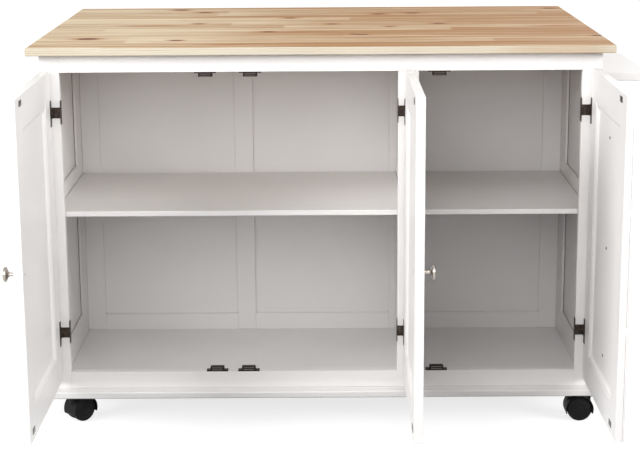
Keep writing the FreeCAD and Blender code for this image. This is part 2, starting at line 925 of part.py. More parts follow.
# Casters are drawn about the swivel axis, the floor at Z = 0, their wheels towards +X on an axle along Y.
wheelInner = size.webThick / 2 + size.wheelGap
wheelOuter = wheelInner + size.wheelWidth + size.wheelCrown
hoodInside = size.wheelRadius + size.hoodGap
hoodOutside = hoodInside + size.hoodWall
hoodHalf = wheelOuter + size.wheelGap
plateBottom = size.casterHeight - size.casterPlate
forkTop = plateBottom - size.casterPlay
kingPinEnd = size.wheelRadius + hoodOutside - size.hoodWall * 2


def wheelShape():
    body = newBody("Wheel")
    sketch = sketchOn(body, "XZ_Plane")
    bore = size.axleRadius + size.runningFit
    rim = size.wheelRadius - size.wheelRound
    outline(
        sketch,
        [
            (bore, 0),
            (rim, 0),
            (size.wheelRadius, size.wheelRound, size.wheelRound, 1),
            (size.wheelRadius, size.wheelWidth - size.wheelRound),
            (rim, size.wheelWidth, size.wheelRound, 1),
            (bore, size.wheelWidth + size.wheelCrown),
        ],
    )
    revolve(body, sketch)
    return body


wheel = wheelShape()
brakeX = size.casterTrail + (hoodOutside + size.brakeRise) * cosine(size.brakeAngle)
brakeZ = size.wheelRadius + (hoodOutside + size.brakeRise) * sine(size.brakeAngle)


def forkShape(braked):
    width = 2 * hoodHalf
    bottom = size.wheelRadius - size.hoodSkirt
    hood = rod((size.casterTrail, -hoodHalf, size.wheelRadius), "y", hoodOutside, width)
    boss = rod((0, 0, bottom + size.hoodSkirt), "z", size.kingPinRadius + size.kingPinWall,
               forkTop - size.wheelRadius)
    solid = join(hood, boss)
    if braked:
        solid = join(solid, *brakeLugs())
    halfWeb = size.webThick / 2
    for start in (halfWeb, -halfWeb - width):
        cavity = rod((size.casterTrail, start, size.wheelRadius), "y", hoodInside, width)
        solid = cut(solid, cavity)
    reach = size.casterTrail + hoodOutside + past
    below = box((-reach, -reach, -reach), (reach, reach, bottom))
    pinHole = rod((0, 0, kingPinEnd - past), "z", size.kingPinRadius + size.runningFit, size.casterHeight)
    axleBore = size.axleRadius + size.axleFit
    axleHole = rod((size.casterTrail, -width, size.wheelRadius), "y", axleBore, 2 * width)
    return cut(solid, below, pinHole, axleHole)


def brakeLugs():
    half = size.brakeWidth / 2 + size.sideFit
    lugs = []
    for start in (half, -half - size.lugThick):
        ear = rod((brakeX, start, brakeZ), "y", size.brakePin + size.lugWall, size.lugThick)
        foot = box((brakeX - size.lugBack, start, size.wheelRadius + size.lugRise),
                   (brakeX + size.lugFront, start + size.lugThick, brakeZ))
        lugs += [ear, foot]
    pin = rod((brakeX, -half - size.lugThick, brakeZ), "y", size.brakePin, 2 * (half + size.lugThick))
    return lugs + [pin]


def brakeShape():
    half = size.brakeWidth / 2
    thick = size.brakeThick / 2
    boss = rod((brakeX, -half, brakeZ), "y", size.brakePin + size.brakeBoss, size.brakeWidth)
    pedal = box((brakeX, -half, brakeZ - thick), (brakeX + size.brakeReach, half, brakeZ + thick))
    bore = drill((brakeX, -half, brakeZ), "y", size.brakePin + size.runningFit, size.brakeWidth)
    return cut(join(boss, pedal), bore)


def addCasters():
    plain = forkShape(False)
    braked = forkShape(True)
    axle = rod((size.casterTrail, -wheelOuter, size.wheelRadius), "y", size.axleRadius, 2 * wheelOuter)
    brake = brakeShape()
    plates = []
    endX = halfBody + size.baseSide - size.casterSide
    frontY = size.casterEnd - size.baseFront
    rearY = size.bodyDepth + size.baseRear - size.casterEnd
    for name, x, y, turn, hasBrake in (
        ("front_left", -endX, frontY, 45, True),
        ("front_right", endX, frontY, 0, True),
        ("rear_left", -endX, rearY, 160, False),
        ("rear_right", endX, rearY, 200, False),
    ):
        spot = (x, y, formula(0))
        node("caster_" + name + "_fork", braked if hasBrake else plain, spot, turn)
        node("caster_" + name + "_axle", axle, spot, turn)
        for letter, side in (("a", 1), ("b", -1)):
            rotation = FreeCAD.Rotation(FreeCAD.Vector(1, 0, 0), -90 * side)
            made = copyOf(wheel, (size.casterTrail, side * wheelInner, size.wheelRadius), rotation)
            node("caster_" + name + "_wheel_" + letter, made, spot, turn)
        if hasBrake:
            node("caster_" + name + "_brake", brake, spot, turn)
        half = size.casterPlateSide / 2
        plate = box((x - half, y - half, plateBottom), (x + half, y + half, size.casterHeight))
        pin = rod((x, y, kingPinEnd), "z", size.kingPinRadius, plateBottom - kingPinEnd + past)
        plates.append(join(plate, pin))
    node("caster_plates", group(*plates))


# Leaf hinges and stays are drawn about the leaf's turning line.
def leafHingeLeaf(x, side):
    half = size.leafHingeWidth / 2
    inner = half - size.leafHingeKnuckle
    top = size.leafBarrel + size.sideFit
    bottom = top - size.leafHingePlate
    near = size.leafBarrel + size.sideFit
    lowY, highY = (-size.leafHingeReach, -near) if side < 0 else (near, size.leafHingeReach)
    plate = box((x - half, lowY, bottom), (x + half, highY, top))
    moving = inner - size.sideFit
    spans = ((-half, -inner), (inner, half)) if side < 0 else ((-moving, moving),)
    pieces = [plate]
    for start, end in spans:
        lowTongue, highTongue = (-near, formula(0)) if side < 0 else (formula(0), near)
        pieces.append(box((x + start, lowTongue, bottom), (x + end, highTongue, top)))
        pieces.append(rod((x + start, 0, 0), "x", size.leafBarrel, end - start))
    bore = drill((x - half, 0, 0), "x", size.leafHingePin + size.runningFit, size.leafHingeWidth)
    return cut(join(*pieces), bore)


def addLeafHinges():
    spot = (formula(0), leafAxisY, leafAxisZ)
    fixed = [leafHingeLeaf(x, -1) for x in leafHingePlaces]
    moving = [leafHingeLeaf(x, 1) for x in leafHingePlaces]
    half = size.leafHingeWidth / 2
    rods = [rod((x - half, 0, 0), "x", size.leafHingePin, size.leafHingeWidth) for x in leafHingePlaces]
    node("leaf_hinge_fixed_leaves", group(*fixed), spot)
    node("leaf_hinge_moving_leaves", group(*moving), spot)
    node("leaf_hinge_pins", group(*rods), spot)


# A stay's lower pivot lies stayInset in front of the leaf's line and stayPivotDrop below it. Seen from the
# leaf, the upper pin then runs on an arc round armSpan, armRise, so the arm turns as far as the leaf does.
stayInset = leafAxisY - size.bodyDepth - size.stayLugReach
armSpan = stayInset + size.stayStart
armRise = smaller(stayInset, size.stayPivotDrop) - size.stayDrop
arcRadius = root(stayInset * stayInset + size.stayPivotDrop * size.stayPivotDrop)
armLength = root(armSpan * armSpan + armRise * armRise)
trackDepth = arcRadius - armRise + size.stayPin + size.stayHalfWidth
armX = size.stayBracketPlate + size.sideFit
trackX = armX + size.stayThick + size.sideFit
undersideZ = size.leafBarrel + size.sideFit


# The arm is drawn along +Y from its lower pivot, then turned up towards its upper pin.
def stayArm():
    bar = box((armX, 0, -size.stayHalfWidth), (armX + size.stayThick, armLength, size.stayHalfWidth))
    ends = [rod((armX, along, 0), "x", size.stayHalfWidth, size.stayThick) for along in (0, armLength)]
    pinEnd = trackX + size.stayThick + size.sideFit
    pin = rod((armX, armLength, 0), "x", size.stayPin, pinEnd - armX + size.stayPinHeadThick)
    head = rod((pinEnd, armLength, 0), "x", size.stayPinHead, size.stayPinHeadThick)
    bore = drill((armX, 0, 0), "x", size.stayPin + size.runningFit, size.stayThick)
    arm = cut(join(bar, pin, head, *ends), bore)
    return tilt(arm, slope(armRise, armSpan), (0, -stayInset, -size.stayPivotDrop))


def stayBracket():
    half = size.stayBracketWidth / 2
    wallY = -(leafAxisY - size.bodyDepth)
    eye = size.stayHalfWidth
    pivotZ = -size.stayPivotDrop
    plate = box((trackX / 2 - half, wallY, pivotZ - half),
                (trackX / 2 + half, wallY + size.stayBracketPlate, pivotZ + half))
    pieces = [plate]
    for start in (formula(0), trackX):
        ear = box((start, wallY, pivotZ - eye), (start + size.stayBracketPlate, -stayInset, pivotZ + eye))
        tip = rod((start, -stayInset, pivotZ), "x", eye, size.stayBracketPlate)
        pieces += [ear, tip]
    pieces.append(rod((0, -stayInset, pivotZ), "x", size.stayPin, trackX + size.stayBracketPlate))
    return join(*pieces)


# A plate with a curved slot for the upper pin: what is left of a ring below the line between the slot's ends
def stayTrack():
    slot = size.stayPin + size.pinFit
    startZ = armRise - size.stayPivotDrop
    endY = armSpan + size.stayPivotDrop
    endZ = armRise - stayInset
    low = size.stayStart - size.stayTrackMargin
    high = endY + size.stayTrackMargin
    plate = box((trackX, low, -trackDepth), (trackX + size.stayThick, high, undersideZ))
    flange = box((trackX, low, undersideZ - size.stayBracketPlate),
                 (trackX + size.stayTrackFlange, high, undersideZ))
    outer = drill((trackX, armSpan, armRise), "x", arcRadius + slot, size.stayThick)
    inner = drill((trackX, armSpan, armRise), "x", arcRadius - slot, size.stayThick)
    reach = 3 * arcRadius
    above = box((trackX - past, -arcRadius, 0), (trackX + size.stayThick + past, reach, reach))
    above = tilt(above, slope(endZ - startZ, endY - size.stayStart), (0, size.stayStart, startZ))
    first = drill((trackX, size.stayStart, startZ), "x", slot, size.stayThick)
    last = drill((trackX, endY, endZ), "x", slot, size.stayThick)
    return cut(join(plate, flange), cut(cut(outer, inner), above), first, last)


def addStays():
    spot = (formula(0), leafAxisY, leafAxisZ)
    bracket = stayBracket()
    arm = stayArm()
    track = stayTrack()
    brackets = []
    tracks = []
    for name, x in (("left", -centreMiddle), ("right", centreMiddle)):
        start = x - trackX / 2
        brackets.append(copyOf(bracket, (start, 0, 0)))
        tracks.append(copyOf(track, (start, 0, 0)))
        node(name + "_stay_arm", arm, (start, leafAxisY, leafAxisZ))
    node("stay_brackets", group(*brackets), spot)
    node("stay_tracks", group(*tracks), spot)


def writeParts():
    doc.recompute()
    for item in doc.Objects:
        if "Invalid" in item.State or "Error" in item.State:
            raise RuntimeError("failed: " + item.Label + " " + str(item.State))
    os.makedirs("parts", exist_ok=True)
    for name, item in nodes.items():
        if item.Shape.isNull() or not item.Shape.isValid() or not item.Shape.Solids:
            raise RuntimeError("bad shape: " + name)
        item.Shape.exportStep("parts/" + name + ".step")
        print(name, len(item.Shape.Solids), "solids", round(item.Shape.Volume / 1000), "cm3")


addWorktop()
addBase()
addFaceFrame()
addSides()
addBack()
addInside()
addSideShelf()
addDoors()
addCatches()
addCasters()
addLeafHinges()
addStays()
writeParts()
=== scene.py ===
import bmesh
import bpy
import json
import math
from mathutils import Matrix, Vector

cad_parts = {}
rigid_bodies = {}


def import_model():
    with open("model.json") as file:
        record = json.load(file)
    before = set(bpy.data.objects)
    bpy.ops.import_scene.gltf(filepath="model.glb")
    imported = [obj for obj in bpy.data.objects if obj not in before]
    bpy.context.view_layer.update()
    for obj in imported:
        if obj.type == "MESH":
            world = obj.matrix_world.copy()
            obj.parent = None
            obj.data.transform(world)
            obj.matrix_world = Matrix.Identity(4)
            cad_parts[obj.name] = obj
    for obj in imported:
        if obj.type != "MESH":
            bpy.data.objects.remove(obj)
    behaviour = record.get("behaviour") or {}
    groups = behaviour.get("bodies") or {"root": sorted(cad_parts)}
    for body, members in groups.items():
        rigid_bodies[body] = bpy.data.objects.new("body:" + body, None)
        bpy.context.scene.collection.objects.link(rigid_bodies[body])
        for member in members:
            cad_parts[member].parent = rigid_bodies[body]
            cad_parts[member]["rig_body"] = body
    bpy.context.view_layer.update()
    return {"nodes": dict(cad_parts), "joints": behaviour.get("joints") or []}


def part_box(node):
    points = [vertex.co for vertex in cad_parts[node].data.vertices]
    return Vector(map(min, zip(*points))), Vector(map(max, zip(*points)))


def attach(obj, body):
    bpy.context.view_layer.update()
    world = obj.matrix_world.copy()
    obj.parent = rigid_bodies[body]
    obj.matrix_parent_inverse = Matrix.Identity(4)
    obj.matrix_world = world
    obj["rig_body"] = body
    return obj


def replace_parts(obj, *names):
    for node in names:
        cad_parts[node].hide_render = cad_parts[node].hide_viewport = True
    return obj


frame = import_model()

nodes = frame["nodes"]
bodyOf = {name: piece["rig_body"] for name, piece in nodes.items()}


# Small helpers for finishes

def addNode(tree, kind, inputs=None, **settings):
    node = tree.nodes.new(kind)
    for name, value in settings.items():
        setattr(node, name, value)
    for name, value in (inputs or {}).items():
        if isinstance(value, bpy.types.NodeSocket):
            tree.links.new(value, node.inputs[name])
        else:
            node.inputs[name].default_value = value
    return node


def calc(tree, operation, first, second=0.0):
    return addNode(tree, "ShaderNodeMath", {0: first, 1: second}, operation=operation).outputs[0]


# Adds values, each times its own weight.
def weigh(tree, *parts):
    shares = [calc(tree, "MULTIPLY", value, weight) for value, weight in parts]
    total = shares[0]
    for share in shares[1:]:
        total = calc(tree, "ADD", total, share)
    return total


def vectorMath(tree, operation, inputs, output):
    return addNode(tree, "ShaderNodeVectorMath", inputs, operation=operation).outputs[output]


def joinXyz(tree, x, y, z):
    return addNode(tree, "ShaderNodeCombineXYZ", {0: x, 1: y, 2: z}).outputs[0]


def scaled(tree, spot, scale, shift=(0, 0, 0)):
    return addNode(tree, "ShaderNodeMapping", {"Vector": spot, "Location": shift, "Scale": scale}).outputs[0]


def noise(tree, spot, scale, detail=3.0, roughness=0.5):
    values = {"Vector": spot, "Scale": scale, "Detail": detail, "Roughness": roughness}
    return addNode(tree, "ShaderNodeTexNoise", values).outputs["Fac"]


def fade(tree, value, start, end, low=0.0, high=1.0):
    values = {"Value": value, "From Min": start, "From Max": end, "To Min": low, "To Max": high}
    return addNode(tree, "ShaderNodeMapRange", values, interpolation_type="SMOOTHSTEP").outputs[0]


def blendColours(tree, amount, under, over, mode="MIX"):
    node = addNode(tree, "ShaderNodeMix", data_type="RGBA", blend_type=mode)
    for socket, value in ((node.inputs[0], amount), (node.inputs[6], under), (node.inputs[7], over)):
        if isinstance(value, bpy.types.NodeSocket):
            tree.links.new(value, socket)
        else:
            socket.default_value = value if isinstance(value, float) else (*value, 1.0)
    return node.outputs[2]


def newFinish(name, roughness, metallic=0.0):
    finish = bpy.data.materials.new(name)
    finish.use_nodes = True
    tree = finish.node_tree
    shader = tree.nodes["Principled BSDF"]
    shader.inputs["Roughness"].default_value = roughness
    shader.inputs["Metallic"].default_value = metallic
    return finish, tree, shader, addNode(tree, "ShaderNodeTexCoord").outputs["Object"]


def addBump(tree, shader, height, depth, strength=1.0):
    values = {"Height": height, "Distance": depth, "Strength": strength}
    tree.links.new(addNode(tree, "ShaderNodeBump", values).outputs[0], shader.inputs["Normal"])


# Satin white paint over wood, with the wood's grain showing through a little along the board, and painted
# shade in its crevices

paint = {
    "colour": (0.81, 0.792, 0.782),
    "thin": (0.75, 0.728, 0.714),  # where the paint lies thinner
    "gap": (0.10, 0.080, 0.070),  # painted shade in the slits between boards and in other crevices
    "gapReach": 0.005,
    "gapShare": 0.85,
    "roughness": 0.36,
    "grainAcross": 260.0,
    "grainAlong": 9.0,
    "stipple": 520.0,
    "depth": 0.00012,
}


def makePaint(name, along):
    finish, tree, shader, spot = newFinish(name, paint["roughness"])
    stretch = [paint["grainAcross"]] * 3
    stretch["xyz".index(along)] = paint["grainAlong"]
    grain = noise(tree, scaled(tree, spot, stretch), 1.0, 4.0, 0.6)
    stipple = noise(tree, spot, paint["stipple"], 2.0)
    cloud = noise(tree, spot, 6.0, 3.0)
    colour = blendColours(tree, fade(tree, cloud, 0.3, 0.75, 0.0, 0.35), paint["colour"], paint["thin"])
    # Painted shade: where ambient occlusion finds the surface hemmed in within this reach, the paint colour
    # is darkened towards the shade colour
    reach = {"Distance": paint["gapReach"]}
    openness = addNode(tree, "ShaderNodeAmbientOcclusion", reach, samples=8).outputs["AO"]
    narrow = fade(tree, openness, 0.55, 0.12, 0.0, paint["gapShare"])
    colour = blendColours(tree, narrow, colour, paint["gap"])
    tree.links.new(colour, shader.inputs["Base Color"])
    rough = fade(tree, stipple, 0.2, 0.8, paint["roughness"] - 0.05, paint["roughness"] + 0.07)
    tree.links.new(rough, shader.inputs["Roughness"])
    addBump(tree, shader, weigh(tree, (grain, 0.7), (stipple, 0.3)), paint["depth"], 0.35)
    return finish


# Pine: narrow staves glued edge to edge, each made of shorter boards, with rings, streaks and small knots.

pine = {
    "staveWidth": 0.0569,
    "boardLength": 0.86,
    "boardShift": 7.3,  # how far the boards' ends are shuffled from stave to stave, in boards
    "fingerLength": 0.010,
    "fingerPitch": 0.008,
    "pale": (0.72, 0.60, 0.425),
    "honey": (0.350, 0.180, 0.072),
    "shadeSpan": (-0.62, 0.15),  # painted shade: the staves go from pale to honey over this span of x, standing in for the light falling off towards +x
    "shadeDrift": 0.43,
    "boardTone": 0.40,  # how much boards differ from each other
    "streakTone": 0.42,  # and how much a board differs along its own streaks
    "late": (0.38, 0.21, 0.09),
    "warm": (0.34, 0.125, 0.042),
    "paleFrontFace": (0.56, 0.53, 0.44),  # a paler colour on the worktop's front face
    "knot": (0.105, 0.030, 0.009),
    "knotSlim": 0.55,  # a knot's width over its length
    "knotPush": 0.012,  # how far the rings bend round a knot
    "glue": (0.30, 0.18, 0.09),
    "ring": 0.0042,
    "wander": 0.022,
    "pithAcross": 0.11,  # how far a board's pith may lie to the side
    "pithBelow": 0.07,  # and how far below the board
    "boardLow": 0.88,
    "roughness": 0.6,
    "specular": 0.08,
    "depth": 0.00015,
}

# Knots in the worktop and leaf: x, y and radius
knots = [
    (-0.598, -0.069, 0.013), (-0.433, 0.562, 0.012), (-0.362, 0.493, 0.010), (-0.359, 0.229, 0.007),
    (-0.385, -0.106, 0.008), (-0.174, 0.050, 0.008), (-0.127, 0.350, 0.009), (-0.018, 0.208, 0.008),
    (0.034, -0.006, 0.007), (0.054, -0.012, 0.008), (0.110, 0.435, 0.010), (0.201, 0.454, 0.011),
    (0.255, 0.204, 0.009), (0.127, 0.146, 0.006), (0.590, 0.555, 0.010), (0.613, -0.060, 0.009),
]

# Long reddish streaks without a knot: x, y, half length and half width
streaks = [
    (-0.089, 0.046, 0.110, 0.012), (0.550, 0.604, 0.090, 0.012), (0.606, 0.038, 0.080, 0.010),
    (0.372, -0.154, 0.160, 0.011), (0.548, 0.142, 0.090, 0.016), (0.429, 0.219, 0.150, 0.007),
    (-0.480, 0.190, 0.120, 0.012), (0.180, -0.060, 0.140, 0.009), (-0.250, -0.185, 0.120, 0.010),
]


# How far a spot is from the closest mark, 1 being its edge. A mark is x, y, half length and half width.
def nearestMark(tree, spot, marks):
    nearest = 9.0
    for markX, markY, halfLength, halfWidth in marks:
        away = vectorMath(tree, "SUBTRACT", {0: spot, 1: (markX, markY, 0)}, 0)
        flat = scaled(tree, away, (1 / halfLength, 1 / halfWidth, 0))
        length = vectorMath(tree, "LENGTH", {0: flat}, "Value")
        nearest = calc(tree, "MINIMUM", length, nearest)
    return nearest


def makePine():
    finish, tree, shader, spot = newFinish("clearedPine", pine["roughness"])
    x, y, z = addNode(tree, "ShaderNodeSeparateXYZ", {0: spot}).outputs
    stave = pine["staveWidth"]
    aside = 10.0  # keeps the numbers of the staves above zero

    # Staves, and boards of chance tone along each
    across = calc(tree, "DIVIDE", calc(tree, "ADD", y, aside), stave)
    row = calc(tree, "FLOOR", across)
    shift = addNode(tree, "ShaderNodeTexWhiteNoise", {"W": row}, noise_dimensions="1D").outputs["Value"]
    zigzag = calc(tree, "PINGPONG", y, pine["fingerPitch"])
    finger = calc(tree, "MULTIPLY", zigzag, pine["fingerLength"] / pine["fingerPitch"])
    along = calc(tree, "DIVIDE", calc(tree, "ADD", x, finger), pine["boardLength"])
    shuffled = calc(tree, "ADD", along, calc(tree, "MULTIPLY", shift, pine["boardShift"]))
    board = joinXyz(tree, row, calc(tree, "FLOOR", shuffled), 3.0)
    chance = addNode(tree, "ShaderNodeTexWhiteNoise", {"Vector": board})
    tone, offset, depth = addNode(tree, "ShaderNodeSeparateColor", {0: chance.outputs["Color"]}).outputs

    knotMarks = [(knotX, knotY, radius / pine["knotSlim"], radius) for knotX, knotY, radius in knots]
    nearKnot = nearestMark(tree, spot, knotMarks)
    nearStreak = nearestMark(tree, spot, streaks)

    # Growth rings about each board's own pith, pushed aside by the knots
    wander = noise(tree, scaled(tree, spot, (1.6, 16.0, 16.0)), 1.0, 3.0)
    sideways = weigh(tree, (offset, pine["pithAcross"]), (row, -stave))
    fromPith = calc(tree, "ADD", calc(tree, "ADD", y, aside - pine["pithAcross"] / 2 + stave / 2), sideways)
    height = calc(tree, "SUBTRACT", z, pine["boardLow"])
    below = calc(tree, "ADD", calc(tree, "MULTIPLY", depth, pine["pithBelow"]), height)
    squares = calc(tree, "ADD", calc(tree, "POWER", fromPith, 2.0), calc(tree, "POWER", below, 2.0))
    nearness = calc(tree, "EXPONENT", calc(tree, "MULTIPLY", nearKnot, -0.7))
    push = calc(tree, "MULTIPLY", nearness, pine["knotPush"])
    pushed = calc(tree, "ADD", calc(tree, "SQRT", squares), push)
    bent = calc(tree, "ADD", pushed, calc(tree, "MULTIPLY", wander, pine["wander"]))
    ring = calc(tree, "FRACT", calc(tree, "DIVIDE", bent, pine["ring"]))
    lateWood = calc(tree, "MULTIPLY", fade(tree, ring, 0.35, 0.92), fade(tree, ring, 1.0, 0.93))

    streaky = noise(tree, scaled(tree, spot, (1.9, 52.0, 52.0)), 1.0, 5.0, 0.68)
    fibre = noise(tree, scaled(tree, spot, (30.0, 900.0, 900.0)), 1.0, 2.0)
    patch = noise(tree, scaled(tree, spot, (2.5, 14.0, 14.0), (3.0, 1.0, 0)), 1.0, 2.0)
    ragged = calc(tree, "SUBTRACT", streaky, 0.5)  # breaks up the edges of knots and streaks

    # From pale to honey, with painted shade darker towards +x, then the paler front face, the rings and the
    # darker patches
    toneAndShade = weigh(tree, (tone, pine["boardTone"]), (fade(tree, streaky, 0.33, 0.67), pine["streakTone"]))
    # Painted shade: the wood grows darker from left to right, standing in for the light falling off across
    # the worktop
    toneAndShade = calc(tree, "ADD", toneAndShade, fade(tree, x, *pine["shadeSpan"], 0.0, pine["shadeDrift"]))
    colour = blendColours(tree, fade(tree, toneAndShade, 0.18, 1.02), pine["pale"], pine["honey"])
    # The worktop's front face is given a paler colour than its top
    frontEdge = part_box("worktop")[0].y
    onFrontFace = fade(tree, y, frontEdge + 0.0025, frontEdge + 0.0005, 0.0, 0.88)
    colour = blendColours(tree, onFrontFace, colour, pine["paleFrontFace"])
    ringShare = calc(tree, "MULTIPLY", lateWood, fade(tree, streaky, 0.3, 0.7, 0.15, 0.5))
    colour = blendColours(tree, ringShare, colour, pine["late"])
    colour = blendColours(tree, fade(tree, patch, 0.60, 0.74, 0.0, 0.30), colour, pine["late"])

    # Streaks, the warm wood round the knots, the knots and the glue lines
    streakEdge = calc(tree, "ADD", nearStreak, calc(tree, "MULTIPLY", ragged, 1.1))
    colour = blendColours(tree, fade(tree, streakEdge, 1.15, 0.1, 0.0, 0.85), colour, pine["warm"])
    halo = calc(tree, "ADD", nearKnot, calc(tree, "MULTIPLY", ragged, 2.2))
    colour = blendColours(tree, fade(tree, halo, 2.5, 0.8, 0.0, 0.75), colour, pine["warm"])
    core = calc(tree, "ADD", nearKnot, calc(tree, "MULTIPLY", wander, 0.4))
    colour = blendColours(tree, fade(tree, core, 1.35, 1.05, 0.0, 0.94), colour, pine["knot"])
    seam = calc(tree, "ABSOLUTE", calc(tree, "SUBTRACT", calc(tree, "FRACT", across), 0.5))
    colour = blendColours(tree, fade(tree, seam, 0.488, 0.498, 0.0, 0.5), colour, pine["glue"])
    tree.links.new(colour, shader.inputs["Base Color"])

    shader.inputs["Specular IOR Level"].default_value = pine["specular"]
    dull = fade(tree, fibre, 0.2, 0.8, pine["roughness"] - 0.06, pine["roughness"] + 0.08)
    rough = calc(tree, "ADD", calc(tree, "MULTIPLY", lateWood, -0.06), dull)
    tree.links.new(rough, shader.inputs["Roughness"])
    addBump(tree, shader, weigh(tree, (fibre, 0.4), (lateWood, 0.6)), pine["depth"], 0.4)
    return finish


# Metals and plastics

metals = {
    # worn is the colour where it is rubbed, and a brushed metal's marks run along z
    "darkBronze": {
        "colour": (0.040, 0.031, 0.027), "worn": (0.13, 0.10, 0.078), "roughness": 0.38, "brushed": False},
    "polishedNickel": {
        "colour": (0.44, 0.40, 0.36), "worn": (0.36, 0.325, 0.29), "roughness": 0.13, "brushed": False},
    "darkSteel": {
        "colour": (0.20, 0.195, 0.19), "worn": (0.12, 0.115, 0.11), "roughness": 0.34, "brushed": True},
    "brightSteel": {
        "colour": (0.56, 0.56, 0.565), "worn": (0.44, 0.44, 0.45), "roughness": 0.30, "brushed": True},
}


def makeMetal(name):
    facts = metals[name]
    finish, tree, shader, spot = newFinish(name, facts["roughness"], 1.0)
    stretch = (700.0, 700.0, 30.0) if facts["brushed"] else (180.0, 180.0, 180.0)
    wear = noise(tree, scaled(tree, spot, stretch), 1.0, 4.0, 0.6)
    colour = blendColours(tree, fade(tree, wear, 0.45, 0.85), facts["colour"], facts["worn"])
    tree.links.new(colour, shader.inputs["Base Color"])
    rough = fade(tree, wear, 0.2, 0.8, facts["roughness"] - 0.04, facts["roughness"] + 0.12)
    tree.links.new(rough, shader.inputs["Roughness"])
    addBump(tree, shader, wear, 0.00005, 0.25)
    return finish


plasticSpecular = 0.12
plastics = {
    # pebble is how fine the moulded grain is
    "catchBrown": {
        "colour": (0.022, 0.015, 0.012), "pale": (0.044, 0.031, 0.026), "roughness": 0.42, "pebble": 1400.0},
    "hoodBlack": {
        "colour": (0.006, 0.006, 0.006), "pale": (0.013, 0.013, 0.013), "roughness": 0.50, "pebble": 1200.0},
    "wheelBlack": {
        "colour": (0.0055, 0.0055, 0.0055), "pale": (0.014, 0.014, 0.0135), "roughness": 0.52,
        "pebble": 900.0},
    "footRubber": {
        "colour": (0.05, 0.05, 0.052), "pale": (0.075, 0.075, 0.077), "roughness": 0.7, "pebble": 800.0},
}


def makePlastic(name):
    facts = plastics[name]
    finish, tree, shader, spot = newFinish(name, facts["roughness"])
    shader.inputs["Specular IOR Level"].default_value = plasticSpecular
    values = {"Vector": spot, "Scale": facts["pebble"]}
    pebble = addNode(tree, "ShaderNodeTexVoronoi", values).outputs["Distance"]
    dust = noise(tree, spot, 45.0, 4.0, 0.6)
    tone = fade(tree, dust, 0.45, 0.8, 0.0, 0.7)
    colour = blendColours(tree, tone, facts["colour"], facts["pale"])
    tree.links.new(colour, shader.inputs["Base Color"])
    rough = fade(tree, dust, 0.2, 0.8, facts["roughness"] - 0.06, facts["roughness"] + 0.10)
    tree.links.new(rough, shader.inputs["Roughness"])
    addBump(tree, shader, pebble, 0.00008, 0.3)
    return finish


finishes = {
    "paintUpright": makePaint("satinPaintUpright", "z"),
    "paintLevel": makePaint("satinPaintLevel", "x"),
    "paintDeep": makePaint("satinPaintDeep", "y"),
    "pine": makePine(),
    "bronze": makeMetal("darkBronze"),
    "nickel": makeMetal("polishedNickel"),
    "steel": makeMetal("brightSteel"),
    "darkSteel": makeMetal("darkSteel"),
    "catch": makePlastic("catchBrown"),
    "hood": makePlastic("hoodBlack"),
    "wheel": makePlastic("wheelBlack"),
    "rubber": makePlastic("footRubber"),
}
print("finishes are made")


# Helpers for meshes

def addPiece(name, mesh, finish, body, sharpAngle=35.0):
    mesh.materials.append(finishes[finish])
    mesh.shade_smooth()
    mesh.set_sharp_from_angle(angle=math.radians(sharpAngle))
    piece = bpy.data.objects.new(name, mesh)
    bpy.context.scene.collection.objects.link(piece)
    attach(piece, body)
    return piece


def asMesh(name, shape):
    mesh = bpy.data.meshes.new(name)
    shape.to_mesh(mesh)
    shape.free()
    return mesh


# Tells a node's solids apart: faces that share an edge belong to one solid, also where two solids touch.
def solidFaces(node):
    mesh = nodes[node].data
    spots = [tuple(round(v * 1e6) for v in vert.co) for vert in mesh.vertices]
    owner = list(range(len(mesh.polygons)))

    def root(index):
        while owner[index] != index:
            owner[index] = owner[owner[index]]
            index = owner[index]
        return index

    seen = {}
    for face in mesh.polygons:
        corners = [spots[v] for v in face.vertices]
        for start, end in zip(corners, corners[1:] + corners[:1]):
            key = (min(start, end), max(start, end))
            if key in seen:
                owner[root(face.index)] = root(seen[key])
            seen[key] = face.index
    groups = {}
    for face in mesh.polygons:
        groups.setdefault(root(face.index), []).append(face)
    return list(groups.values())


# The box round each separate solid of a node
def solidBoxes(node):
    mesh = nodes[node].data
    boxes = []
    for faces in solidFaces(node):
        found = [mesh.vertices[v].co for face in faces for v in face.vertices]
        low = Vector([min(p[axis] for p in found) for axis in range(3)])
        high = Vector([max(p[axis] for p in found) for axis in range(3)])
        boxes.append((low, high))
    return sorted(boxes, key=lambda b: tuple(round(v, 3) for v in b[0]))


# Turns a profile of (radius, height) about the Z axis.
def lathe(profile, steps=48):
    shape = bmesh.new()
    rings = []
    for radius, height in profile:
        if radius < 1e-6:
            rings.append([shape.verts.new((0, 0, height))])
            continue
        angles = [math.tau * i / steps for i in range(steps)]
        rings.append([shape.verts.new((radius * math.cos(a), radius * math.sin(a), height)) for a in angles])
    for lower, upper in zip(rings, rings[1:]):
        for i in range(steps):
            j = (i + 1) % steps
            corners = [(lower, i), (lower, j), (upper, j), (upper, i)]
            corners = list(dict.fromkeys(ring[index % len(ring)] for ring, index in corners))
            if len(corners) > 2:
                shape.faces.new(corners)
    for ring in (rings[0], rings[-1]):
        if len(ring) > 1:
            shape.faces.new(ring)
    bmesh.ops.recalc_face_normals(shape, faces=shape.faces)
    return shape


# Points on an arc, for profiles
def arc(centre, radius, start, end, count=6):
    angles = [math.radians(start + (end - start) * i / count) for i in range(count + 1)]
    return [(centre[0] + radius * math.cos(a), centre[1] + radius * math.sin(a)) for a in angles]


# Where a smooth line from b to c is at the share t of its way, with a before it and d after it
def smoothValue(a, b, c, d, t):
    bend = (2 * a - 5 * b + 4 * c - d) * t * t
    return 0.5 * (2 * b + (c - a) * t + bend + (3 * b - a - 3 * c + d) * t ** 3)


